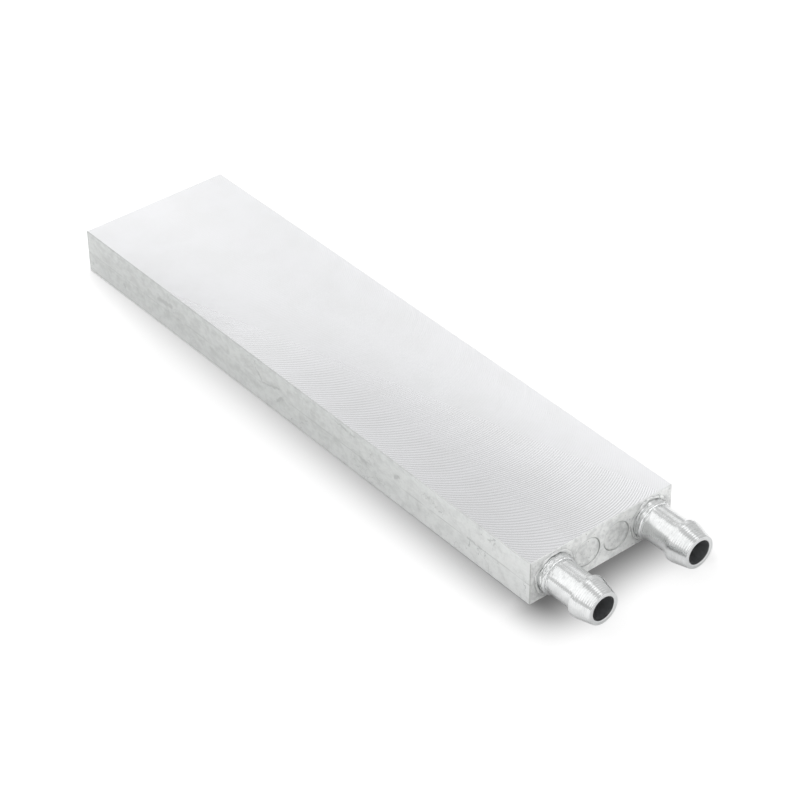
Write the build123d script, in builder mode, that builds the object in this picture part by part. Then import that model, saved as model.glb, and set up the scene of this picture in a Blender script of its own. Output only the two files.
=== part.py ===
from build123d import *
import os

# Liquid cooling cold plate, in millimetres.
# An aluminium bar carries four round channels along its whole length. Windows through the
# webs join the channels into one M-shaped coolant path. Flush plugs close the channel ends,
# and two turned hose barbs, staked into the front end face, lead the coolant in and out.
# Frame: +X towards the barbs, +Z up, origin at the centre of the underside.

# Bar
block_length = 160.0
block_thickness = 11.2  # a 12 mm bar after the facing cuts on both broad faces
face_wall = 2.1  # from a channel to a broad face
edge_break = 0.2

# Flat metal left on the front end face, from the side face to the middle of the plate
side_land = 1.45  # from the side face to a staking ring
port_land = 0.55  # from a staking ring to a broad face
plug_land = 0.85  # from a staking ring to the plug beside it
centre_web = 1.2  # between the two middle plugs

# Windows cut through the webs behind the plugs
window_length = 8.0
window_shoulder = 0.3  # how much lower than the channel a window is, at top and bottom
window_setback = 2.0  # from the inner face of a plug to the nearest window

# Plugs pressed into the channel mouths, at the same size as the channels
plug_length = 4.0
plug_inset = 0.08  # how far a plug stays behind the end face
plug_rim_chamfer = 0.3
mouth_chamfer = 0.12
punch_mark_margin = 1.0  # from the wall of a plug to the mark of the punch on its face
punch_mark_depth = 0.12
punch_mark_slope = 45.0  # degrees

# Ports bored into the front end face for the barbs, at the same size as their shanks
staking_depth = 1.0
staking_gap = 0.4  # open ring around the collar
staking_rim_chamfer = 0.15
shoulder_width = 0.4  # back face of the collar, which seats on the floor of the ring

# Hose barbs, across the axis
collar_height = 0.55  # over the neck
neck_wall = 1.2
tip_wall = 1.0
ridge_height = 0.85  # over the neck

# Hose barbs, along the axis from the shank to the tip
shank_length = 7.0
shank_lead_in = 0.4
collar_reach = 2.0  # in front of the end face
collar_nose_radius = 0.45
neck_length = 7.4
ridge_back_length = 0.35
ridge_land_length = 0.8
cone_length = 4.45
tip_edge_break = 0.15
bore_mouth_chamfer = 0.2

# Radii, worked out from the half thickness of the bar
mid_height = block_thickness / 2
channel_radius = mid_height - face_wall
window_radius = channel_radius - window_shoulder
staking_radius = mid_height - port_land
collar_radius = staking_radius - staking_gap
shank_radius = collar_radius - shoulder_width
neck_radius = collar_radius - collar_height
ridge_radius = neck_radius + ridge_height
bore_radius = neck_radius - neck_wall
tip_radius = bore_radius + tip_wall
punch_mark_radius = channel_radius - punch_mark_margin

# Channel axes across the plate, and the width that the lands and bores add up to
inner_y = centre_web / 2 + channel_radius
outer_y = inner_y + channel_radius + plug_land + staking_radius
web_y = (inner_y + outer_y) / 2
block_width = 2 * (outer_y + staking_radius + side_land)

# Places along the plate
front_x = block_length / 2
rear_x = -block_length / 2
blind_length = plug_inset + plug_length + window_setback
front_window_x = front_x - blind_length
rear_window_x = rear_x + blind_length + window_length
port_depth = staking_depth + shank_length

# Places along a barb, from the end face outwards
ridge_back_x = collar_reach + neck_length
ridge_land_x = ridge_back_x + ridge_back_length
cone_x = ridge_land_x + ridge_land_length
tip_x = cone_x + cone_length


def end_plane(x, y, facing):
    """A plane on an end face, on a channel axis, with its normal along facing times X."""
    return Plane(origin=(x, y, mid_height), x_dir=(0, facing, 0), z_dir=(facing, 0, 0))


def rings_of(part, radius, x):
    """The round edges across the plate's length with this radius and this x."""
    circles = part.edges().filter_by(GeomType.CIRCLE)
    same_size = circles.filter_by(lambda edge: abs(edge.radius - radius) < 1e-6)
    return same_size.filter_by(lambda edge: abs(edge.arc_center.X - x) < 1e-6)


# Bar with its edges broken, and the four channels through its whole length
with BuildPart() as channel_block:
    with BuildSketch(Plane.YZ.offset(rear_x)):
        with Locations((0, mid_height)):
            Rectangle(block_width, block_thickness)
    extrude(amount=block_length)
    chamfer(channel_block.edges(), edge_break)
    with BuildSketch(Plane.YZ.offset(rear_x)):
        with Locations(*[(y, mid_height) for y in (-outer_y, -inner_y, inner_y, outer_y)]):
            Circle(channel_radius)
    extrude(amount=block_length, mode=Mode.SUBTRACT)

    # The front window joins the two middle channels
    with BuildSketch(Plane.YZ.offset(front_window_x)):
        with Locations((0, mid_height)):
            SlotCenterToCenter(2 * inner_y, 2 * window_radius)
    extrude(amount=-window_length, mode=Mode.SUBTRACT)

    # A rear window joins each outer channel to the middle channel beside it
    with BuildSketch(Plane.YZ.offset(rear_window_x)):
        with Locations((-web_y, mid_height), (web_y, mid_height)):
            SlotCenterToCenter(outer_y - inner_y, 2 * window_radius)
    extrude(amount=-window_length, mode=Mode.SUBTRACT)

    # Stepped ports for the barbs, each with an open staking ring at the face
    with Locations(end_plane(front_x, -outer_y, 1), end_plane(front_x, outer_y, 1)):
        CounterBoreHole(shank_radius, staking_radius, staking_depth, port_depth)
    chamfer(rings_of(channel_block, staking_radius, front_x), staking_rim_chamfer)

    # Mouths of the channels that plugs close
    chamfer(rings_of(channel_block, channel_radius, front_x), mouth_chamfer)
    chamfer(rings_of(channel_block, channel_radius, rear_x), mouth_chamfer)


def make_plug(name, x, y, facing):
    """A pressed disc, with the groove of its seam at the rim and the mark of the punch."""
    face_plane = end_plane(x - facing * plug_inset, y, facing)
    with BuildPart() as plug:
        with BuildSketch(face_plane):
            Circle(channel_radius)
        extrude(amount=-plug_length)
        chamfer(rings_of(plug, channel_radius, face_plane.origin.X), plug_rim_chamfer)
        with BuildSketch(face_plane):
            Circle(punch_mark_radius)
        extrude(amount=-punch_mark_depth, taper=punch_mark_slope, mode=Mode.SUBTRACT)
    plug.part.label = name
    export_step(plug.part, f"parts/{name}.step")


def make_barb(name, y):
    """A barb turned from bar: shank, collar, neck and one ridge with a tapered nose."""
    half_plane = Plane(origin=(front_x, y, mid_height), x_dir=(1, 0, 0), z_dir=(0, -1, 0))
    with BuildPart() as barb:
        with BuildSketch(half_plane):
            with BuildLine():
                Polyline(
                    (-port_depth, bore_radius),
                    (-port_depth, shank_radius),
                    (-staking_depth, shank_radius),
                    (-staking_depth, collar_radius),
                    (collar_reach, collar_radius),
                    (collar_reach, neck_radius),
                    (ridge_back_x, neck_radius),
                    (ridge_land_x, ridge_radius),
                    (cone_x, ridge_radius),
                    (tip_x, tip_radius),
                    (tip_x, bore_radius),
                    close=True,
                )
            make_face()
        revolve(axis=Axis(half_plane.origin, half_plane.x_dir))
        chamfer(rings_of(barb, shank_radius, front_x - port_depth), shank_lead_in)
        nose_radius = min(collar_nose_radius, 0.9 * collar_height)
        fillet(rings_of(barb, collar_radius, front_x + collar_reach), nose_radius)
        chamfer(rings_of(barb, tip_radius, front_x + tip_x), tip_edge_break)
        chamfer(rings_of(barb, bore_radius, front_x + tip_x), bore_mouth_chamfer)
    barb.part.label = name
    export_step(barb.part, f"parts/{name}.step")


os.makedirs("parts", exist_ok=True)

channel_block.part.label = "channel_block"
export_step(channel_block.part, "parts/channel_block.step")

make_barb("inlet_barb", -outer_y)
make_barb("outlet_barb", outer_y)

make_plug("front_plug_left", front_x, -inner_y, 1)
make_plug("front_plug_right", front_x, inner_y, 1)
for number, y in enumerate((-outer_y, -inner_y, inner_y, outer_y), start=1):
    make_plug(f"rear_plug_{number}", rear_x, y, -1)

print(f"plate {block_length:.2f} x {block_width:.2f} x {block_thickness:.2f} mm")
print(f"channels at {outer_y:.2f} and {inner_y:.2f} mm from the middle, radius {channel_radius:.2f}")
print(f"barb bore {bore_radius:.2f}, neck {neck_radius:.2f}, ridge {ridge_radius:.2f} mm radius")
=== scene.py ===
# %% [markdown]
# # A liquid cooling cold plate
# The real thing is a flat aluminium bar with four drilled channels inside. Two turned hose barbs
# are staked into one end face, and pressed plugs close the other channel mouths. The lesson
# loads the CAD solids as a fixed frame, then gives each of them the surface of the real one.

# %% Load the frame
import math

import bmesh
import bpy
import numpy as np
from mathutils import Matrix, Vector


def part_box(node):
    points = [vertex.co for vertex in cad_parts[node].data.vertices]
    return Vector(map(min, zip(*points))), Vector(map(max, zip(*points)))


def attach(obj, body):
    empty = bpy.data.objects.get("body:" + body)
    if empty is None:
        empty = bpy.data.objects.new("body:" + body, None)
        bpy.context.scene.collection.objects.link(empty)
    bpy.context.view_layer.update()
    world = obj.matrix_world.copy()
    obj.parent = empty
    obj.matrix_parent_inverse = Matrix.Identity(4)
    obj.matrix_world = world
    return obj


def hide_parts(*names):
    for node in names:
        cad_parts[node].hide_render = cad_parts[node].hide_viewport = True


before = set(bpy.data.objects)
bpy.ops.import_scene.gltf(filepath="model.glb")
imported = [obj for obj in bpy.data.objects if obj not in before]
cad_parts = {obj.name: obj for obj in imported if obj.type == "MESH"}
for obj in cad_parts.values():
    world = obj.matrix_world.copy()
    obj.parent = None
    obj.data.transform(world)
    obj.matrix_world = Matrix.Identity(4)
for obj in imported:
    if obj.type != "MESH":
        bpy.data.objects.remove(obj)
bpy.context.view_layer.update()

scene = bpy.context.scene
MM = 0.001  # Blender works in metres, and a machinist in millimetres
print("nodes:", sorted(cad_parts))

# %% [markdown]
# ## Camera
# The plate's four long edges and its corners fix where the photographer stood: low over the
# front right corner, with a long lens. A camera is an object with three axes, so the matrix is
# written from them: right, up, and the direction that points back from the view.

# %% Place the camera
CAMERA_PLACE = Vector((0.37558, -0.29424, 0.35850))
RIGHT = Vector((0.63639, 0.77132, -0.00872)).normalized()
FORWARD = Vector((-0.61789, 0.50296, -0.60435)).normalized()
UP = RIGHT.cross(FORWARD)
LENS, SENSOR_WIDTH = 117.9, 36.0

camera_data = bpy.data.cameras.new("camera")
camera_data.lens = LENS
camera_data.sensor_width = SENSOR_WIDTH
camera_data.clip_start = 10 * MM
camera = bpy.data.objects.new("camera", camera_data)
scene.collection.objects.link(camera)
axes = Matrix((RIGHT, UP, -FORWARD)).transposed()
camera.matrix_world = Matrix.Translation(CAMERA_PLACE) @ axes.to_4x4()
scene.camera = camera
scene.view_settings.view_transform = "Standard"
print("camera at", tuple(round(v, 3) for v in CAMERA_PLACE), "with a lens of", LENS, "mm")


# %% [markdown]
# ## Nodes in one line
# A material is a small network of nodes. It could be built by hand in the shader editor. Written
# as function calls it stays readable: a call names the node, its settings and what feeds it.

# %% Helpers that add a node
def put(tree, kind, sockets=None, **settings):
    """Adds a node. sockets maps a socket's name or number to a value or a node's output."""
    node = tree.nodes.new(kind)
    for key, value in settings.items():
        setattr(node, key, value)
    for key, value in (sockets or {}).items():
        feed(tree, node.inputs[key], value)
    return node


def feed(tree, socket, value):
    """Links an output to a socket, or sets the socket to a plain value."""
    if isinstance(value, bpy.types.NodeSocket):
        tree.links.new(value, socket)
    else:
        socket.default_value = value


def math_node(tree, operation, *values):
    """The result of a Math node, such as ABSOLUTE or MAXIMUM, on one to three values."""
    return put(tree, "ShaderNodeMath", dict(enumerate(values)), operation=operation).outputs[0]


def times(tree, *values):
    """The product of two or more values."""
    product = values[0]
    for value in values[1:]:
        product = math_node(tree, "MULTIPLY", product, value)
    return product


def times_plus(tree, value, factor, added):
    """value times factor, plus added."""
    return math_node(tree, "MULTIPLY_ADD", value, factor, added)


# %% [markdown]
# Most of a finish is one look blended over another where a mask says so. The masks come from
# soft steps and from noise, so these helpers do the blending, the steps and the noise.

# %% Helpers that blend and scatter
def rgb(red, green, blue):
    """An opaque colour."""
    return (red, green, blue, 1.0)


def blend_colour(tree, factor, first, second):
    """A colour between first and second."""
    node = put(tree, "ShaderNodeMix", data_type="RGBA")
    for number, value in ((0, factor), (6, first), (7, second)):
        feed(tree, node.inputs[number], value)
    return node.outputs[2]


def blend_value(tree, factor, first, second):
    """A number between first and second."""
    node = put(tree, "ShaderNodeMix", {0: factor, 2: first, 3: second}, data_type="FLOAT")
    return node.outputs[0]


def smooth_step(tree, value, low, high):
    """0 at low and 1 at high, with a soft change between them. low may be the larger one."""
    sockets = {0: value, 1: low, 2: high}
    node = put(tree, "ShaderNodeMapRange", sockets, interpolation_type="SMOOTHSTEP")
    return node.outputs[0]


def noise(tree, vector, scale, detail=2.0, roughness=0.5):
    """Smooth random values around 0.5, with scale features per unit of the vector."""
    sockets = {"Vector": vector, "Scale": scale, "Detail": detail, "Roughness": roughness}
    return put(tree, "ShaderNodeTexNoise", sockets).outputs[0]


def stretch(tree, vector, factors):
    """The vector with each axis multiplied by its own factor."""
    sockets = {0: vector, 1: factors}
    return put(tree, "ShaderNodeVectorMath", sockets, operation="MULTIPLY").outputs[0]


def split_axes(tree, vector):
    """The x, y and z of a vector."""
    node = put(tree, "ShaderNodeSeparateXYZ", {0: vector})
    return [node.outputs[n] for n in range(3)]


def join_axes(tree, x, y, z=0.0):
    """A vector of its x, y and z."""
    return put(tree, "ShaderNodeCombineXYZ", {0: x, 1: y, 2: z}).outputs[0]


# %% [markdown]
# An effect that several finishes share becomes a group, which is a network with named inputs and
# outputs. A material starts with a Principled shader and with the object's own coordinates,
# because a pattern that reads those stays where it is on the object.

# %% Helpers for groups and materials
def new_group(name, inputs, outputs):
    """An empty shader group. inputs and outputs map a socket's name to its kind."""
    group = bpy.data.node_groups.new(name, "ShaderNodeTree")
    for in_out, sockets in (("INPUT", inputs), ("OUTPUT", outputs)):
        for socket, kind in sockets.items():
            group.interface.new_socket(socket, in_out=in_out, socket_type="NodeSocket" + kind)
    return group, put(group, "NodeGroupInput"), put(group, "NodeGroupOutput")


def use_group(tree, made, **sockets):
    """Places a group in a material, with a value or an output for each named input."""
    node = put(tree, "ShaderNodeGroup", node_tree=made[0])
    for key, value in sockets.items():
        feed(tree, node.inputs[key.replace("_", " ")], value)
    return node


def empty_material(name):
    """A material with no nodes but the object's coordinates, and these in millimetres."""
    material = bpy.data.materials.new(name)
    material.use_nodes = True
    tree = material.node_tree
    tree.nodes.clear()
    coordinates = put(tree, "ShaderNodeTexCoord")
    place = stretch(tree, coordinates.outputs["Object"], (1 / MM,) * 3)
    return material, tree, coordinates, place


def new_material(name):
    """A material with a Principled shader, and the object's coordinates in millimetres."""
    material, tree, coordinates, place = empty_material(name)
    shader = put(tree, "ShaderNodeBsdfPrincipled")
    put(tree, "ShaderNodeOutputMaterial", {0: shader.outputs[0]})
    return material, tree, shader, coordinates, place


def bump_from(tree, shader, height):
    """Gives the shader a relief from a height in millimetres."""
    bump = put(tree, "ShaderNodeBump", {"Strength": 1.0, "Distance": MM, "Height": height})
    tree.links.new(bump.outputs[0], shader.inputs["Normal"])


# %% [markdown]
# ## Floor
# The plate lies on white paper. The floor is one big square, a hair under the plate, so that the
# two faces don't flicker through each other.

# %% The square of paper
FLOOR_HALF_SIZE = 3.0
FLOOR_DROP = 0.02 * MM

floor_mesh = bpy.data.meshes.new("floor")
corners = [(-1, -1), (1, -1), (1, 1), (-1, 1)]
corners = [(x * FLOOR_HALF_SIZE, y * FLOOR_HALF_SIZE, -FLOOR_DROP) for x, y in corners]
floor_mesh.from_pydata(corners, [], [(0, 1, 2, 3)])
floor = bpy.data.objects.new("floor", floor_mesh)
scene.collection.objects.link(floor)
print(f"floor: {2 * FLOOR_HALF_SIZE:.0f} m square, {FLOOR_DROP / MM:.2f} mm under the plate")

# %% [markdown]
# In the photo the paper is washed out to white, and only a soft shade is left near the plate. It
# is deepest at the barbs' end, fades towards the far end, and is gone on the right side. Brighter
# lamps would burn out the metal too, so only the paper's colour is lifted: here for the camera,
# and in the next step for reflections. How much of the sky a spot of the paper sees, by Ambient
# Occlusion, darkens it again where the plate stands close.

# %% The shade along the sides
PAPER = 0.8
LIFT, FAR_LIFT = 1.56, 1.85  # how much lighter the camera sees the paper
CONTACT_REACH = 10 * MM
DEEPEST_CONTACT = 0.5
TIP_CONTACT = 0.2
paper, tree, _, place = empty_material("white paper")
x, y, _ = split_axes(tree, place)
near = times(tree, smooth_step(tree, x, -90.0, -30.0), smooth_step(tree, y, 23.0, 15.0))
tips = smooth_step(tree, x, 83.0, 95.0)
# the share of the contact shade grows along the plate, and drops at the tips of the barbs
share = math_node(tree, "MAXIMUM", times_plus(tree, x, 0.0075, 0.25), 0.0)
share = blend_value(tree, tips, times(tree, share, near), TIP_CONTACT)
around = put(tree, "ShaderNodeAmbientOcclusion", {"Distance": CONTACT_REACH}, samples=16)
covered = math_node(tree, "SUBTRACT", 1.0, around.outputs["AO"])
contact = math_node(tree, "SUBTRACT", 1.0, times(tree, share, covered))
lift = blend_value(tree, tips, LIFT, FAR_LIFT)
lift = blend_value(tree, near, FAR_LIFT, lift)
lifted = times(tree, lift, math_node(tree, "MAXIMUM", contact, DEEPEST_CONTACT), PAPER)

# %% [markdown]
# In front of the end face, the photo's shade depends on the distance from that face alone, and
# the barbs leave hardly any shade of their own. There most of what the camera sees is painted
# light, whose strength of 1 is white, and the lamps' own shadow keeps the rest.

# %% The shade in front of the end face, and the paper's shader
MIRRORED_LIFT = 1.55  # how much lighter the metal mirrors the paper
END_SHADE = 0.15
PAINTED_SHARE = 0.85
path = put(tree, "ShaderNodeLightPath")
to_camera = path.outputs["Is Camera Ray"]
mirrored = math_node(
    tree, "MAXIMUM", path.outputs["Is Glossy Ray"], path.outputs["Is Transmission Ray"]
)
level = blend_value(tree, mirrored, PAPER, PAPER * MIRRORED_LIFT)
level = blend_value(tree, to_camera, level, lifted)
level = put(tree, "ShaderNodeCombineColor", {0: level, 1: level, 2: level}).outputs[0]
lit = put(tree, "ShaderNodeBsdfDiffuse", {"Color": level})
from_end = smooth_step(tree, times_plus(tree, y, 0.07, x), 78.8, 94.0)
beside = smooth_step(tree, y, -16.5, -29.0)
shade = blend_value(tree, beside, blend_value(tree, from_end, END_SHADE, 1.0), 1.0)
painted = put(tree, "ShaderNodeEmission", {"Strength": shade})
in_front = times(tree, smooth_step(tree, x, 76.0, 81.0), near, to_camera, PAINTED_SHARE)
surface = put(
    tree, "ShaderNodeMixShader", {0: in_front, 1: lit.outputs[0], 2: painted.outputs[0]}
)
put(tree, "ShaderNodeOutputMaterial", {0: surface.outputs[0]})
floor_mesh.materials.append(paper)
print("paper:", len(tree.nodes), "nodes")


# %% [markdown]
# ## Light
# Polished round parts show their surroundings as bright and dark bands along their length. The
# bands on the barbs say where the lamps stood: one large soft box behind the left long side, a
# small one high up on the right, two low ones past the far end and the right side, and a wide
# one in front that lights the end face. A lamp in Blender adds to the wall behind it, so its own
# brightness is only the difference.

# %% Place the lamps
LAMP_DISTANCE = 1.2


def direction(azimuth, elevation):
    """The unit vector at an azimuth from +X towards +Y and a height over the floor, in degrees."""
    a, e = math.radians(azimuth), math.radians(elevation)
    return Vector((math.cos(a) * math.cos(e), math.sin(a) * math.cos(e), math.sin(e)))


def soft_box(name, azimuth, elevation, width, height, radiance):
    """A rectangular lamp that faces the plate. A mirror shows it at the walls plus radiance."""
    lamp = bpy.data.lights.new(name, "AREA")
    lamp.shape = "RECTANGLE"
    lamp.size, lamp.size_y = width, height
    lamp.energy = radiance * math.pi * width * height
    holder = bpy.data.objects.new(name, lamp)
    scene.collection.objects.link(holder)
    way = direction(azimuth, elevation)
    turn = way.to_track_quat("Z", "Y").to_matrix().to_4x4()
    holder.matrix_world = Matrix.Translation(way * LAMP_DISTANCE) @ turn
    print(f"{name}: {lamp.energy:.2f} W")


soft_box("key_soft_box", -119.0, 47.0, 1.4, 1.4, 0.56)
soft_box("second_soft_box", 122.0, 70.0, 0.5, 0.36, 0.65)
soft_box("far_soft_box", 171.0, 28.0, 0.85, 0.92, 0.45)
soft_box("right_soft_box", 121.0, 38.0, 0.40, 0.54, 0.34)
soft_box("front_soft_box", 8.0, 12.0, 1.4, 0.5, 1.25)

# %% [markdown]
# The walls all round are the world: pale grey for the metal, and white for the camera, so that
# the background comes out white without more light on the plate. Light that the metal throws
# back onto the paper is left out, because it would spoil the soft shade with bright curls.

# %% Studio walls
WALLS = 0.72
world = bpy.data.worlds.new("studio walls")
world.use_nodes = True
tree = world.node_tree
path = put(tree, "ShaderNodeLightPath")
strength = blend_value(tree, path.outputs["Is Camera Ray"], WALLS, 1.0)
background = tree.nodes["Background"]
background.inputs["Color"].default_value = rgb(1.0, 1.0, 1.0)
feed(tree, background.inputs["Strength"], strength)
scene.world = world
scene.cycles.caustics_reflective = False
print("walls:", WALLS)


# %% [markdown]
# ## Surfaces from numbers
# A turned part is one line carried round an axis, and a plug is a disc with a height at every
# place. The points of such a surface form a grid, which numpy works out as whole arrays. One
# helper turns any grid into a mesh, and prints the volume inside, which is positive when the
# faces point outwards.

# %% Helper for surfaces on a grid
MERGE_DISTANCE = 1e-4 * MM


def grid_piece(name, points, wrap_rows, material):
    """Makes an object of a grid of points, and lets it ride on the body "root".

    points has the shape (rows, columns, 3), in millimetres. Each quad joins a point to its
    neighbours in the next row and column. Columns always close into rings; rows close if
    wrap_rows is true. Points that coincide, as at a pole, are merged.
    """
    rows, columns, _ = points.shape
    index = np.arange(rows * columns).reshape(rows, columns)
    if wrap_rows:
        index = np.vstack((index, index[:1]))
    index = np.hstack((index, index[:, :1]))
    quads = np.stack((index[:-1, :-1], index[:-1, 1:], index[1:, 1:], index[1:, :-1]), axis=-1)
    mesh = bpy.data.meshes.new(name)
    mesh.from_pydata((points.reshape(-1, 3) * MM).tolist(), [], quads.reshape(-1, 4).tolist())
    shape = bmesh.new()
    shape.from_mesh(mesh)
    bmesh.ops.remove_doubles(shape, verts=shape.verts, dist=MERGE_DISTANCE)
    volume = shape.calc_volume(signed=True) / MM**3
    open_edges = sum(edge.is_boundary for edge in shape.edges)
    shape.to_mesh(mesh)
    shape.free()
    mesh.polygons.foreach_set("use_smooth", np.ones(len(mesh.polygons), dtype=bool))
    mesh.materials.append(material)
    piece = bpy.data.objects.new(name, mesh)
    scene.collection.objects.link(piece)
    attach(piece, "root")
    print(f"{name}: {len(mesh.polygons)} faces, {volume:.1f} mm3, {open_edges} open edges")
    return piece


# %% [markdown]
# No edge of a turned part is perfectly sharp, and it is the small radii that catch the light. So
# the line that is carried round has an arc at every corner.

# %% Helper for outlines with rounded corners
ARC_POINTS = 7


def rounded_line(corners):
    """A line through corners, each rounded with its own radius.

    corners is a list of (x, r, radius, step). At a corner the two runs end where a circle of
    that radius touches both of them, and an arc joins them. The run after a corner is divided
    into equal parts about step long. The line is closed, and comes back as two arrays, x and r.
    """
    places = np.array([corner[:2] for corner in corners], dtype=float)
    radii = np.array([corner[2] for corner in corners], dtype=float)
    before = np.roll(places, 1, axis=0) - places
    after = np.roll(places, -1, axis=0) - places
    before /= np.linalg.norm(before, axis=1, keepdims=True)
    after /= np.linalg.norm(after, axis=1, keepdims=True)
    half_angle = np.arccos(np.clip((before * after).sum(1), -1, 1)) / 2
    reach = radii / np.tan(half_angle)
    bisector = before + after
    bisector /= np.linalg.norm(bisector, axis=1, keepdims=True)
    centres = places + bisector * (radii / np.sin(half_angle))[:, None]
    starts = places + before * reach[:, None]
    ends = places + after * reach[:, None]
    line = []
    for number, corner in enumerate(corners):
        share = np.linspace(0.0, 1.0, ARC_POINTS)[:, None]
        chord = starts[number] * (1 - share) + ends[number] * share - centres[number]
        arc = chord / np.linalg.norm(chord, axis=1, keepdims=True) * radii[number]
        line.append(centres[number] + arc)
        run_start, run_end = ends[number], starts[(number + 1) % len(corners)]
        parts = max(2, int(np.linalg.norm(run_end - run_start) / corner[3]))
        share = np.linspace(0.0, 1.0, parts + 1)[1:-1, None]
        line.append(run_start * (1 - share) + run_end * share)
    line = np.vstack(line)
    return line[:, 0], line[:, 1]


# %% [markdown]
# ## Sizes
# The CAD solids say where everything is, so the places of the barbs and plugs are read from
# them and not written again.

# %% Sizes read from the frame
block_low, block_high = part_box("channel_block")
FRONT_X = block_high.x / MM
SIDE_Y = block_low.y / MM
MID_Z = (block_low.z + block_high.z) / 2 / MM
barb_low, barb_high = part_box("outlet_barb")
BARB_Y = (barb_low.y + barb_high.y) / 2 / MM
SHANK_END = barb_low.x / MM - FRONT_X
TIP_X = barb_high.x / MM - FRONT_X
plug_low, plug_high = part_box("front_plug_right")
PLUG_Y = (plug_low.y + plug_high.y) / 2 / MM
PLUG_RADIUS = (plug_high.y - plug_low.y) / 2 / MM
print(f"front face at {FRONT_X:.1f}, barbs at +-{BARB_Y:.2f}, tips {TIP_X:.2f} mm in front of it")

# %% [markdown]
# ## Marks that more than one surface has
# Every cutting tool leaves parallel troughs: across the broad faces by the fly cutter, and round
# the barbs by the lathe tool. Only the line that the troughs follow differs. So one group makes
# troughs from a distance across them, and each material works out that distance.

# %% A group for the troughs of a tool
SLOW_CHANGE = 0.03  # features of the noise per unit along a cut
CUT_STEP = 7.31  # keeps the noise of one cut apart from that of the next
FINE_LINES, FINE_SHARE = 5.0, 0.12
tool_marks = new_group(
    "tool marks",
    {"Across": "Float", "Along": "Float", "Pitch": "Float", "Depth": "Float"},
    {"Height": "Float", "Ridge": "Float"},
)
tree, asked, result = tool_marks
turns = math_node(tree, "DIVIDE", asked.outputs["Across"], asked.outputs["Pitch"])
# one trough: a parabola that meets the next in a sharp ridge
place_in_trough = math_node(tree, "SUBTRACT", math_node(tree, "FRACT", turns), 0.5)
trough = times(tree, place_in_trough, place_in_trough, 4.0)
# no two cuts are equally deep, and a cut changes slowly along its length
slow = times(tree, asked.outputs["Along"], SLOW_CHANGE)
cut_place = join_axes(tree, times(tree, math_node(tree, "FLOOR", turns), CUT_STEP), slow)
uneven = noise(tree, cut_place, 1.0, 1.0)
trough = times(tree, trough, math_node(tree, "ADD", uneven, 0.5))
# fine lines from nicks in the cutting edge
fine = noise(tree, join_axes(tree, times(tree, turns, FINE_LINES), slow), 1.0, 3.0, 0.6)
both = times_plus(tree, math_node(tree, "SUBTRACT", fine, 0.5), FINE_SHARE, trough)
tree.links.new(times(tree, both, asked.outputs["Depth"]), result.inputs["Height"])
tree.links.new(both, result.inputs["Ridge"])
print("tool marks:", len(tree.nodes), "nodes")

# %% [markdown]
# Bare aluminium that is handled turns patchy: cloudy oxide stains, small pits and dents. This
# group is used on the bar, the plugs and the barbs, each with its own size and depth. The pits
# and dents are finer than the stains by fixed factors.

# %% A group for stains and pits
PIT_FINENESS, DENT_FINENESS = 4.1, 1.7
patina = new_group(
    "patina",
    {"Place": "Vector", "Patch size": "Float", "Dent depth": "Float"},
    {"Stain": "Float", "Pit": "Float", "Height": "Float"},
)
tree, asked, result = patina
patch = join_axes(tree, *[asked.outputs["Patch size"]] * 3)
spot = put(
    tree, "ShaderNodeVectorMath", {0: asked.outputs["Place"], 1: patch}, operation="DIVIDE"
).outputs[0]
clouds = noise(tree, spot, 1.0, 5.0, 0.62)
tree.links.new(smooth_step(tree, clouds, 0.38, 0.66), result.inputs["Stain"])
grains = noise(tree, stretch(tree, spot, (PIT_FINENESS,) * 3), 1.0)
pits = smooth_step(tree, grains, 0.66, 0.76)
tree.links.new(pits, result.inputs["Pit"])
dents = noise(tree, stretch(tree, spot, (DENT_FINENESS,) * 3), 1.0, 3.0)
height = math_node(tree, "SUBTRACT", dents, times(tree, pits, 0.5))
tree.links.new(times(tree, height, asked.outputs["Dent depth"]), result.inputs["Height"])
print("patina:", len(tree.nodes), "nodes")


# %% [markdown]
# Round features such as the bores and the seams of the plugs need the distance from an axis.
# There are two of each, so the distance is that from the nearer one.

# %% Helpers for distances from an axis
def axis_distance(tree, place, axis_y):
    """Distance from the nearer of two axes at +-axis_y, with its y and z parts, and x."""
    x, y, z = split_axes(tree, place)
    y_off = math_node(tree, "SUBTRACT", math_node(tree, "ABSOLUTE", y), axis_y)
    z_off = math_node(tree, "SUBTRACT", z, MID_Z)
    squares = times_plus(tree, z_off, z_off, times(tree, y_off, y_off))
    return math_node(tree, "SQRT", squares), y_off, z_off, x


def plug_distance(tree, place):
    """Distance in millimetres from the axis of the nearest plug."""
    inner = axis_distance(tree, place, PLUG_Y)[0]
    return math_node(tree, "MINIMUM", inner, axis_distance(tree, place, BARB_Y)[0])


# %% [markdown]
# ## The bar's finish
# The bar is one piece with three finishes: fly-cut broad faces, long sides with the dull skin of
# the extrusion, and sawn and hammered ends. One material works out all three, and the object's
# own normals tell them apart.
#
# The broad faces come first. A cutter on a turning head leaves arcs, whose distance across the
# troughs is x minus the arc's own reach. The head leans a little, so its cuts are deepest
# towards the front left corner, and along the left side the wider marks of a second tooth show.

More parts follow.
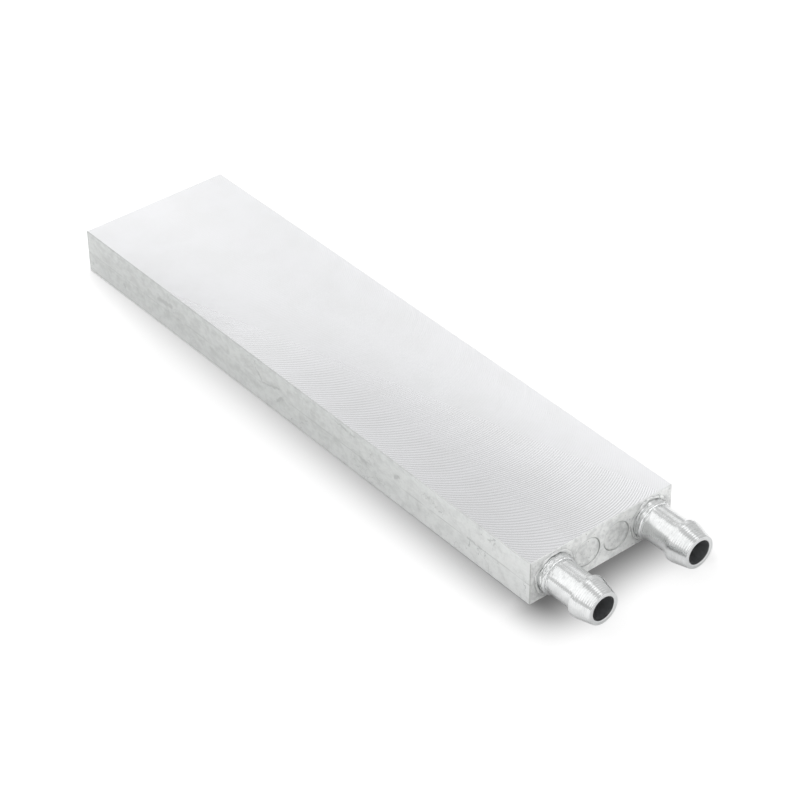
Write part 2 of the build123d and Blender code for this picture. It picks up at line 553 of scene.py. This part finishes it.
# %% Material of the bar: broad faces
ARC_RADIUS, ARC_CENTRE_Y = 26.0, 0.3
FEED, WIDE_FEED = 0.6, 1.04
FACING_DEPTH, SHALLOW_SHARE, WIDE_SHARE = 0.030, 0.6, 0.3
FACE_CLEAN, FACE_STAINED = rgb(0.965, 0.97, 0.985), rgb(0.945, 0.95, 0.96)
CUT_SHADE = rgb(0.3, 0.3, 0.31)
faced, tree, shader, coordinates, place = new_material("faced bar")
x, y, z = split_axes(tree, place)
y_off = math_node(tree, "SUBTRACT", y, ARC_CENTRE_Y)
squares = math_node(tree, "SUBTRACT", ARC_RADIUS**2, times(tree, y_off, y_off))
arc = math_node(tree, "SUBTRACT", x, math_node(tree, "SQRT", squares))
lean = smooth_step(tree, times_plus(tree, y, -3.5, x), -25.0, 80.0)
cut_depth = blend_value(tree, lean, FACING_DEPTH * SHALLOW_SHARE, FACING_DEPTH)
facing = use_group(tree, tool_marks, Across=arc, Along=y_off, Pitch=FEED, Depth=cut_depth)
left = times(tree, smooth_step(tree, y, -5.0, -12.0), smooth_step(tree, x, -45.0, 0.0))
wide_depth = times(tree, cut_depth, WIDE_SHARE)
wide = use_group(tree, tool_marks, Across=arc, Along=y_off, Pitch=WIDE_FEED, Depth=wide_depth)
ridge = blend_value(tree, left, facing.outputs["Ridge"], wide.outputs["Ridge"])
cuts = blend_value(tree, left, facing.outputs["Height"], wide.outputs["Height"])

# %% [markdown]
# A cut scatters light, so its ridges are painted a little darker as well as raised, and the whole
# face is painted darker towards the front left corner: painted shade. Along the left side the face
# is painted darker towards both ends, also painted shade.

# %% Colour of the broad faces
soft = use_group(tree, patina, Place=place, Patch_size=9.0, Dent_depth=0.0008)
face_colour = blend_colour(tree, soft.outputs["Stain"], FACE_CLEAN, FACE_STAINED)
# painted shade: the cut ridges darker, and the whole face darker towards the front left corner
painted_cut_shade = times(tree, times_plus(tree, ridge, 0.22, 0.10), lean)
# painted shade: the left side of the face darker towards both ends
left_side_shade = times(tree, smooth_step(tree, x, -10.0, -60.0), 0.09)
left_side_shade = times_plus(tree, smooth_step(tree, x, 30.0, 75.0), 0.12, left_side_shade)
left_side_shade = times(tree, left_side_shade, smooth_step(tree, y, 4.0, -14.0))
painted_cut_shade = math_node(tree, "ADD", painted_cut_shade, left_side_shade)
face_colour = blend_colour(tree, painted_cut_shade, face_colour, CUT_SHADE)
face_height = math_node(tree, "ADD", cuts, soft.outputs["Height"])
print("broad faces: arcs of radius", ARC_RADIUS, "mm, every", FEED, "and", WIDE_FEED, "mm")

# %% [markdown]
# The long sides keep the skin of the extrusion: stains drawn out along the bar, fine lines from
# the die, dark patches a few millimetres wide, and pits. The skin is painted lighter towards the
# front and along its lowest part: painted light.

# %% Material of the bar: skin of the long sides
SKIN_CLEAN, SKIN_STAINED = rgb(0.68, 0.695, 0.685), rgb(0.60, 0.612, 0.604)
FRONT_LIT_SKIN, LOW_LIT_SKIN = rgb(0.90, 0.91, 0.905), rgb(0.88, 0.89, 0.885)
DIE_LINE_DEPTH = 0.012
drawn_place = stretch(tree, place, (0.6, 1.0, 1.0))
drawn = use_group(tree, patina, Place=drawn_place, Patch_size=1.3, Dent_depth=0.035)
die_place = stretch(tree, place, (0.04, 1.0, 2.2))
die_lines = math_node(tree, "SUBTRACT", noise(tree, die_place, 1.0, 4.0, 0.6), 0.5)
side_height = times_plus(tree, die_lines, DIE_LINE_DEPTH, drawn.outputs["Height"])
side_colour = blend_colour(tree, drawn.outputs["Stain"], SKIN_CLEAN, SKIN_STAINED)
# painted light: the side lighter towards the front end
front_light = times(tree, smooth_step(tree, x, 10.0, 80.0), 0.5)
side_colour = blend_colour(tree, front_light, side_colour, FRONT_LIT_SKIN)
# painted light: the side lighter along its lowest part
low_light = times(tree, smooth_step(tree, z, 4.5, 0.5), 0.35)
side_colour = blend_colour(tree, low_light, side_colour, LOW_LIT_SKIN)
patches = smooth_step(tree, noise(tree, place, 0.4, 5.0, 0.7), 0.45, 0.8)
side_marks = times(tree, math_node(tree, "ADD", drawn.outputs["Pit"], patches), 0.55)

# %% [markdown]
# Scratches are thin lines where a noise passes its middle value, and a second, slow noise leaves
# them in a few places only. A nick in the die drew one long line along the middle of the side,
# which is broken here and there.

# %% Scratches and the die's long line
DIE_LINE_Z = 5.4
wander = math_node(tree, "SUBTRACT", noise(tree, place, 0.42), 0.5)
scratch = smooth_step(tree, math_node(tree, "ABSOLUTE", wander), 0.014, 0.004)
few = noise(tree, stretch(tree, place, (0.1, 0.1, 0.1)), 1.0, 1.0)
scratch = times(tree, scratch, smooth_step(tree, few, 0.54, 0.6))
sway = times_plus(tree, die_lines, 0.5, DIE_LINE_Z)
from_line = math_node(tree, "ABSOLUTE", math_node(tree, "SUBTRACT", z, sway))
broken = noise(tree, stretch(tree, place, (0.12, 0.1, 0.1)), 1.0, 3.0)
broken = smooth_step(tree, broken, 0.36, 0.6)
long_line = times(tree, smooth_step(tree, from_line, 0.16, 0.04), broken)
strokes = math_node(tree, "MAXIMUM", scratch, long_line)

# %% [markdown]
# The knocks and scores of the left side stand where the photo shows them. Each is a short
# stroke: the distance from a line between two places, measured from a place that noise has
# shaken, so that no stroke is straight. An image would do it too, but is tied to one size.

# %% Knocks and scores of the left side
SHAKE = 1.6
KNOCK_DEPTH = 0.02
SKIN_MARK = rgb(0.48, 0.49, 0.485)
KNOCKS = [  # x, z of one end, x, z of the other end, half width
    (66.8, 9.2, 69.2, 10.4, 0.32),
    (67.4, 8.8, 68.4, 10.3, 0.22),
    (68.6, 8.8, 69.3, 10.0, 0.22),
    (60.3, 5.5, 64.5, 5.4, 0.4),
    (61.0, 3.5, 61.2, 6.0, 0.25),
    (70.0, 4.6, 70.1, 6.8, 0.25),
    (65.8, 3.4, 66.0, 5.6, 0.25),
    (24.5, 5.4, 27.0, 4.9, 0.6),
    (16.5, 10.2, 23.0, 9.8, 0.4),
    (36.6, 7.2, 38.0, 8.0, 0.7),
    (-50.5, 7.0, -45.5, 7.6, 0.9),
    (-12.6, 8.2, -10.0, 5.6, 0.35),
    (-10.0, 5.6, -4.0, 7.2, 0.35),
    (-5.2, 3.6, -2.8, 5.2, 0.6),
]


def stroke(tree, shaken, start, end, half_width):
    """1 on the line between two (x, z) places of the left side, and 0 at half_width from it.

    shaken is the place with SHAKE times a noise of mean 0.5 added to each of its axes.
    """
    first = Vector((start[0], SIDE_Y, start[1])) + Vector((SHAKE / 2,) * 3)
    way = Vector((end[0] - start[0], 0.0, end[1] - start[1]))
    offset = put(tree, "ShaderNodeVectorMath", {0: shaken, 1: first}, operation="SUBTRACT")
    sockets = {0: offset.outputs[0], 1: way / way.length_squared}
    share = put(tree, "ShaderNodeVectorMath", sockets, operation="DOT_PRODUCT")
    share = put(tree, "ShaderNodeClamp", {0: share.outputs["Value"]}).outputs[0]
    sockets = {0: share, 1: way, 2: first}
    nearest = put(tree, "ShaderNodeVectorMath", sockets, operation="MULTIPLY_ADD").outputs[0]
    apart = put(tree, "ShaderNodeVectorMath", {0: shaken, 1: nearest}, operation="DISTANCE")
    return smooth_step(tree, apart.outputs["Value"], half_width, 0.3 * half_width)


shaken = put(tree, "ShaderNodeTexNoise", {"Vector": place, "Scale": 0.9, "Detail": 3.0})
sockets = {0: shaken.outputs["Color"], 1: (SHAKE,) * 3, 2: place}
shaken = put(tree, "ShaderNodeVectorMath", sockets, operation="MULTIPLY_ADD").outputs[0]
for x1, z1, x2, z2, half_width in KNOCKS:
    mark = stroke(tree, shaken, (x1, z1), (x2, z2), half_width)
    strokes = math_node(tree, "MAXIMUM", strokes, mark)
side_marks = math_node(tree, "MAXIMUM", side_marks, times(tree, strokes, 0.7))
side_colour = blend_colour(tree, side_marks, side_colour, SKIN_MARK)
side_height = times_plus(tree, strokes, -KNOCK_DEPTH, side_height)
print("long sides:", len(KNOCKS), "knocks")

# %% [markdown]
# The ends are sawn, and the plugs and barbs were hammered in there, so they are bright, dented
# and stained. Grime sits round the mouths of the plugs.

# %% Material of the bar: ends
END_CLEAN, END_STAINED = rgb(0.98, 0.99, 0.98), rgb(0.78, 0.79, 0.785)
END_PIT = rgb(0.5, 0.51, 0.5)
GRIME, GRIME_SHARE = rgb(0.4, 0.41, 0.4), 0.62
hammered = use_group(tree, patina, Place=place, Patch_size=1.8, Dent_depth=0.12)
end_colour = blend_colour(tree, hammered.outputs["Stain"], END_CLEAN, END_STAINED)
end_colour = blend_colour(tree, hammered.outputs["Pit"], end_colour, END_PIT)
seam = smooth_step(tree, plug_distance(tree, place), PLUG_RADIUS + 0.2, PLUG_RADIUS + 0.05)
end_colour = blend_colour(tree, times(tree, seam, GRIME_SHARE), end_colour, GRIME)

# %% [markdown]
# A normal along z means a broad face, and one along x an end. Two parts at once mean a broken
# edge, which is painted darker, most at the upright corners of the ends and less along the bar:
# painted shade that takes the bright line off the edges.

# %% Material of the bar: put together
BROKEN_EDGE_SHADE = rgb(0.37, 0.38, 0.37)
normals = split_axes(tree, coordinates.outputs["Normal"])
across_x, across_y, across_z = (math_node(tree, "ABSOLUTE", part) for part in normals)
broad = smooth_step(tree, across_z, 0.9, 0.95)
ends = smooth_step(tree, across_x, 0.6, 0.8)
corner = smooth_step(tree, times(tree, across_x, across_y), 0.2, 0.4)
long_edge = smooth_step(tree, times(tree, across_y, across_z), 0.2, 0.4)
# painted shade on the broken edges, darkest at the upright corners of the ends
broken_edge_shade = math_node(tree, "MAXIMUM", corner, times(tree, long_edge, 0.4))
colour = blend_colour(tree, ends, side_colour, end_colour)
colour = blend_colour(tree, times(tree, broken_edge_shade, 0.65), colour, BROKEN_EDGE_SHADE)
colour = blend_colour(tree, broad, colour, face_colour)
height = blend_value(tree, ends, side_height, hammered.outputs["Height"])
height = blend_value(tree, broad, height, face_height)
face_roughness = blend_value(tree, lean, 0.30, 0.24)
roughness = blend_value(tree, broad, blend_value(tree, ends, 0.55, 0.6), face_roughness)
metallic = blend_value(tree, broad, blend_value(tree, ends, 0.8, 0.5), 1.0)
tree.links.new(colour, shader.inputs["Base Color"])
tree.links.new(roughness, shader.inputs["Roughness"])
tree.links.new(metallic, shader.inputs["Metallic"])
bump_from(tree, shader, height)
print("faced bar:", len(tree.nodes), "nodes")

# %% [markdown]
# ## The barbs' finish
# The barbs come bright from a lathe, so they mirror the studio, and the tool's spiral stretches
# each highlight along the barb. Where the tool chattered, short marks stand round the axis, fine
# along it. In lines every rib pitch the colour is painted darker, most on the cone: painted shade
# of the ribs.

# %% Material of the barbs: outside
BARB_CLEAN, BARB_STAINED = rgb(0.78, 0.79, 0.79), rgb(0.70, 0.71, 0.71)
CHATTER_TONE, DULL_TIP_AND_RIB_SHADE = rgb(0.5, 0.51, 0.51), rgb(0.45, 0.46, 0.46)
TURNING_PITCH, TURNING_DEPTH = 0.16, 0.002
RIB_PITCH = 0.52
CHATTER_DEPTH = 0.03
turned, tree, shader, _, place = new_material("turned barb")
shader.inputs["Metallic"].default_value = 1.0
distance, y_off, z_off, x = axis_distance(tree, place, BARB_Y)
angle = math_node(tree, "ARCTAN2", z_off, y_off)
rings = use_group(
    tree, tool_marks, Across=x, Along=angle, Pitch=TURNING_PITCH, Depth=TURNING_DEPTH
)
handled = use_group(tree, patina, Place=place, Patch_size=2.0, Dent_depth=0.006)
colour = blend_colour(tree, handled.outputs["Stain"], BARB_CLEAN, BARB_STAINED)
chatter_place = stretch(tree, join_axes(tree, x, y_off, z_off), (2.4, 0.7, 0.7))
chatter = noise(tree, chatter_place, 1.0, 3.0, 0.6)
chatter = times(tree, smooth_step(tree, chatter, 0.5, 0.7), 0.24)
colour = blend_colour(tree, chatter, colour, CHATTER_TONE)
ribs = use_group(tree, tool_marks, Across=x, Along=angle, Pitch=RIB_PITCH, Depth=0.0)
on_cone = smooth_step(tree, x, FRONT_X + 9.5, FRONT_X + 11.0)
# painted shade: darker lines every rib pitch, more on the cone; the same colour also dulls the
# faced tip
painted_rib_shade = times(tree, ribs.outputs["Ridge"], blend_value(tree, on_cone, 0.08, 0.12))
colour = blend_colour(tree, painted_rib_shade, colour, DULL_TIP_AND_RIB_SHADE)
height = math_node(tree, "ADD", rings.outputs["Height"], handled.outputs["Height"])
bump_from(tree, shader, times_plus(tree, chatter, -CHATTER_DEPTH, height))

# %% [markdown]
# The faced ring at the tip is duller than the cone, and the bore is duller still, because a
# drill leaves a rougher wall. It darkens inwards by itself, as little light gets in.

# %% Material of the barbs: tip and bore
BORE = 2.90  # radius
BORE_WALL = rgb(0.58, 0.59, 0.60)
tip = smooth_step(tree, x, FRONT_X + TIP_X - 0.15, FRONT_X + TIP_X - 0.05)
colour = blend_colour(tree, times(tree, tip, 0.45), colour, DULL_TIP_AND_RIB_SHADE)
outside = smooth_step(tree, distance, BORE + 0.06, BORE + 0.1)
mouth = smooth_step(tree, x, FRONT_X + TIP_X - 0.8, FRONT_X + TIP_X)
outside = math_node(tree, "MAXIMUM", outside, times(tree, mouth, 0.5))
colour = blend_colour(tree, outside, BORE_WALL, colour)
tree.links.new(colour, shader.inputs["Base Color"])
tree.links.new(blend_value(tree, outside, 0.4, 0.17), shader.inputs["Roughness"])
print("turned barb:", len(tree.nodes), "nodes")

# %% [markdown]
# ## The plugs' finish
# The plugs are dented like the ends round them and a little duller, with dark pits where the
# punch struck grit into the face, and grime in the seam.

# %% Material of the plugs
PLUG_CLEAN, PLUG_STAINED = rgb(0.91, 0.92, 0.91), rgb(0.70, 0.71, 0.705)
PLUG_PIT = rgb(0.40, 0.41, 0.40)
pressed, tree, shader, _, place = new_material("pressed plug")
struck = use_group(tree, patina, Place=place, Patch_size=1.5, Dent_depth=0.12)
colour = blend_colour(tree, struck.outputs["Stain"], PLUG_CLEAN, PLUG_STAINED)
colour = blend_colour(tree, struck.outputs["Pit"], colour, PLUG_PIT)
seam = smooth_step(tree, plug_distance(tree, place), PLUG_RADIUS - 0.2, PLUG_RADIUS - 0.05)
colour = blend_colour(tree, times(tree, seam, GRIME_SHARE), colour, GRIME)
tree.links.new(colour, shader.inputs["Base Color"])
shader.inputs["Roughness"].default_value = 0.5
shader.inputs["Metallic"].default_value = 0.6
bump_from(tree, shader, struck.outputs["Height"])
print("pressed plug:", len(tree.nodes), "nodes")


# %% [markdown]
# ## Curves of chance
# Hammered rims wander, and no two are alike. Noise could shake them too, but a sum of sines
# closes on itself after one turn, so it goes round an axis without a seam. The seed is fixed, so
# that every run gives the same rims.

# %% A closed curve for rims that wander
SEED = 7
chance = np.random.default_rng(SEED)


def ripple(angle, count, chance):
    """A smooth closed random curve: count sines of 2, 3, 4... waves, each weaker than the last."""
    waves = np.arange(2, 2 + count)
    strength = chance.normal(size=count) / np.sqrt(waves)
    phase = chance.uniform(0, 2 * np.pi, count)
    return (strength * np.sin(angle[..., None] * waves + phase)).sum(-1)


# %% [markdown]
# ## The turned barbs
# A barb is turned from round bar: a shank that is pressed into the plate, a collar that seats in
# its port, a neck for the hose clamp, and a ridge with a tapered nose that the hose is pushed
# over. Its outline is carried round its axis. Real dents and ribs catch the light along the
# barb's own outline too, which bump alone can't do, so both are in the mesh.

# %% The turned barbs
COLLAR, NECK, RIDGE, TIP, SHANK = 4.65, 4.10, 4.95, 3.90, 4.25  # radii
COLLAR_START, COLLAR_END = -1.0, 2.0
BARB_CORNERS = [  # x from the end face, distance from the axis, corner radius, step
    (SHANK_END, BORE, 0.05, 1.0),
    (TIP_X, BORE, 0.18, 0.3),
    (TIP_X, TIP, 0.12, 0.06),
    (10.55, RIDGE, 0.06, 0.06),
    (9.75, RIDGE, 0.06, 0.06),
    (9.40, NECK, 0.05, 0.06),
    (COLLAR_END, NECK, 0.08, 0.1),
    (COLLAR_END, COLLAR, 0.45, 0.1),
    (COLLAR_START, COLLAR, 0.05, 0.1),
    (COLLAR_START, SHANK, 0.02, 0.5),
    (SHANK_END, SHANK, 0.3, 0.3),
]
AROUND = 160
RIB_HEIGHT = 0.006
DENT_DEPTH, DENT_START, DENT_END = 0.07, 0.2, 2.7


def turned_barb(name, y):
    """A barb: its rounded outline carried round its axis, with ribs and dents.

    Outside the block, r grows by rib height times the sine of x over the rib pitch. The ribs are
    one spiral, so their phase turns once with the angle. On the collar, r also grows by dent
    depth times a closed random curve of the angle, which turns and fades with x. A point of the
    outline at distance r from the axis goes to y + r cos(angle) and z + r sin(angle).
    """
    x, r = rounded_line(BARB_CORNERS)
    angle = np.arange(AROUND) * 2 * np.pi / AROUND
    # the ribs stop short of the bore, the collar and the faced tip
    ribbed = np.clip((r - BORE - 0.5) / 0.3, 0, 1)
    ribbed = ribbed * np.clip((x - COLLAR_END - 0.1) / 0.4, 0, 1)
    ribbed = ribbed * np.clip((TIP_X - 0.1 - x) / 0.2, 0, 1)
    wave = np.sin(2 * np.pi * x[:, None] / RIB_PITCH + angle)
    uneven = 1 + 0.5 * np.sin(x * 2.3) * np.sin(x * 0.9 + 1.0)
    # the hammer that staked the barb has dented its collar
    hit = np.clip((x - DENT_START) / 0.2, 0, 1) * np.clip((DENT_END - x) / 0.5, 0, 1)
    hit = hit * (r > NECK - 0.1)
    dents = ripple(angle + 0.4 * np.sin(x[:, None] * 4), 22, chance)
    dents = dents * np.sin(x[:, None] * 3.1 + 2 * np.sin(angle * 3))
    r = r[:, None] + RIB_HEIGHT * (ribbed * uneven)[:, None] * wave
    r = r + DENT_DEPTH * hit[:, None] * dents
    points = np.empty((len(x), AROUND, 3))
    points[..., 0] = (FRONT_X + x)[:, None]
    points[..., 1] = y + r * np.cos(angle)
    points[..., 2] = MID_Z + r * np.sin(angle)
    return grid_piece(name, points, True, turned)


for name, y in (("inlet_barb", -BARB_Y), ("outlet_barb", BARB_Y)):
    piece = turned_barb(name + "_turned", y)
    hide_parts(name)

# %% [markdown]
# ## The plugs
# A plug is a short disc, driven in and struck until it fills its mouth. Its face is a height
# over a disc, worked out for all radii and angles at once: a shallow mark from the round punch,
# a groove at the rim where it meets the bar, and dents.

# %% The pressed plugs
PLUG_LENGTH, PLUG_INSET = 4.0, 0.08
PUNCH_RADIUS, PUNCH_DEPTH, PUNCH_EDGE = 2.5, 0.06, 0.05
RIM_WIDTH, RIM_DEPTH = 0.16, 0.15
PLUG_AROUND = 120
PLUG_DENTS, DENT_SPREAD = 26, 3.2
POLE_RADIUS = 0.3  # where the face is levelled, so that the pole has no spike


def pressed_plug(name, y, facing):
    """A plug: its face is a height over radius and angle, then come its wall and its back.

    Height = minus the punch mark inside its radius, minus the rim groove near the wall, minus
    round dents, each a bell curve of its own depth and width.
    """
    angle = np.arange(PLUG_AROUND) * 2 * np.pi / PLUG_AROUND
    rim = PLUG_RADIUS - RIM_WIDTH * (1 + 0.22 * ripple(angle, 9, chance))
    # the rings of the grid stand closer near the rim, where the groove is
    r = np.concatenate((np.linspace(0, 3.0, 34), np.linspace(3.03, PLUG_RADIUS, 18)))[:, None]
    r = np.broadcast_to(r, (r.shape[0], len(angle)))
    punch_edge = PUNCH_RADIUS + 0.05 * ripple(angle, 6, chance)
    height = -PUNCH_DEPTH / (1 + np.exp((r - punch_edge) / PUNCH_EDGE))
    height = height - RIM_DEPTH * np.clip((r - rim) / (PLUG_RADIUS - rim), 0, 1)
    dents = chance.uniform(-DENT_SPREAD, DENT_SPREAD, (PLUG_DENTS, 2))
    depth = chance.uniform(0.01, 0.05, PLUG_DENTS)
    width = chance.uniform(0.15, 0.5, PLUG_DENTS)
    across = r * np.cos(angle)
    up = r * np.sin(angle)
    apart = (across[..., None] - dents[:, 0]) ** 2 + (up[..., None] - dents[:, 1]) ** 2
    height = height - (depth * np.exp(-apart / (2 * width**2))).sum(-1)
    off_pole = np.clip(r / POLE_RADIUS, 0, 1)
    height = height * off_pole + height[0].mean() * (1 - off_pole)
    wall_r = np.full((6, len(angle)), PLUG_RADIUS)
    wall_h = np.linspace(height[-1], -PLUG_LENGTH, 7)[1:]
    back_r = np.broadcast_to(np.linspace(PLUG_RADIUS, 0, 8)[1:, None], (7, len(angle)))
    back_h = np.full((7, len(angle)), -PLUG_LENGTH)
    r = np.vstack((r, wall_r, back_r))
    h = np.vstack((height, wall_h, back_h)) - PLUG_INSET
    points = np.empty(r.shape + (3,))
    points[..., 0] = facing * (FRONT_X + h)
    points[..., 1] = y + r * np.cos(angle)
    points[..., 2] = MID_Z + r * np.sin(angle)
    if facing > 0:
        points = points[::-1]
    return grid_piece(name, points, False, pressed)


for node in sorted(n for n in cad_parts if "plug" in n):
    low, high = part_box(node)
    facing = 1 if low.x > 0 else -1
    piece = pressed_plug(node + "_struck", (low.y + high.y) / 2 / MM, facing)
    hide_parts(node)

# %% [markdown]
# ## The staked lips
# The barbs are held by metal of the bar that was hammered over their collars. That leaves a
# rough bead round each collar. It is an ellipse carried round the barb's axis, whose width and
# height wander with the angle. The solid has an open ring there, which the bead closes.

# %% The staked lips
LIP_RADIUS, LIP_HALF_WIDTH, LIP_HEIGHT = 4.98, 0.50, 0.34
LIP_LIFT, LEAST_LIP_HEIGHT = -0.04, 0.05
LIP_REACH = 5.52  # keeps the bead inside the bar's broad faces
LIP_AROUND, LIP_SECTION = 240, 24


def staked_lip(name, y):
    """A bead round a barb: an ellipse carried round the axis.

    At angle a round the axis and angle v round the ellipse, the distance from the axis is
    radius(a) + width(a) cos(v), but never over the lip's reach, and the height over the end face
    is lift(a) + height(a) sin(v). Both are faceted by a random curve of a and v.
    """
    angle = np.arange(LIP_AROUND) * 2 * np.pi / LIP_AROUND
    v = np.arange(LIP_SECTION)[:, None] * 2 * np.pi / LIP_SECTION
    radius = LIP_RADIUS + 0.02 * ripple(angle, 12, chance)
    width = LIP_HALF_WIDTH * (1 + 0.15 * ripple(angle, 16, chance))
    height = LIP_HEIGHT * (1 + 0.2 * ripple(angle, 20, chance))
    lift = LIP_LIFT + 0.02 * ripple(angle, 10, chance)
    facets = 1 + 0.10 * ripple(angle * 3 + v, 8, chance)
    r = np.minimum(radius + width * np.cos(v) * facets, LIP_REACH)
    h = lift + np.maximum(height, LEAST_LIP_HEIGHT) * np.sin(v) * facets
    points = np.empty(r.shape + (3,))
    points[..., 0] = FRONT_X + h
    points[..., 1] = y + r * np.cos(angle)
    points[..., 2] = MID_Z + r * np.sin(angle)
    return grid_piece(name, points, True, faced)


for name, y in (("inlet", -BARB_Y), ("outlet", BARB_Y)):
    piece = staked_lip(name + "_staked_lip", y)

# %% [markdown]
# ## The bar
# The bar's own solid has the right shape, so it stays as it is and only takes the material.

# %% The bar keeps its solid
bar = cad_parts["channel_block"]
bar.data.materials.clear()
bar.data.materials.append(faced)
print("channel_block:", len(bar.data.polygons), "faces, with the material", faced.name)
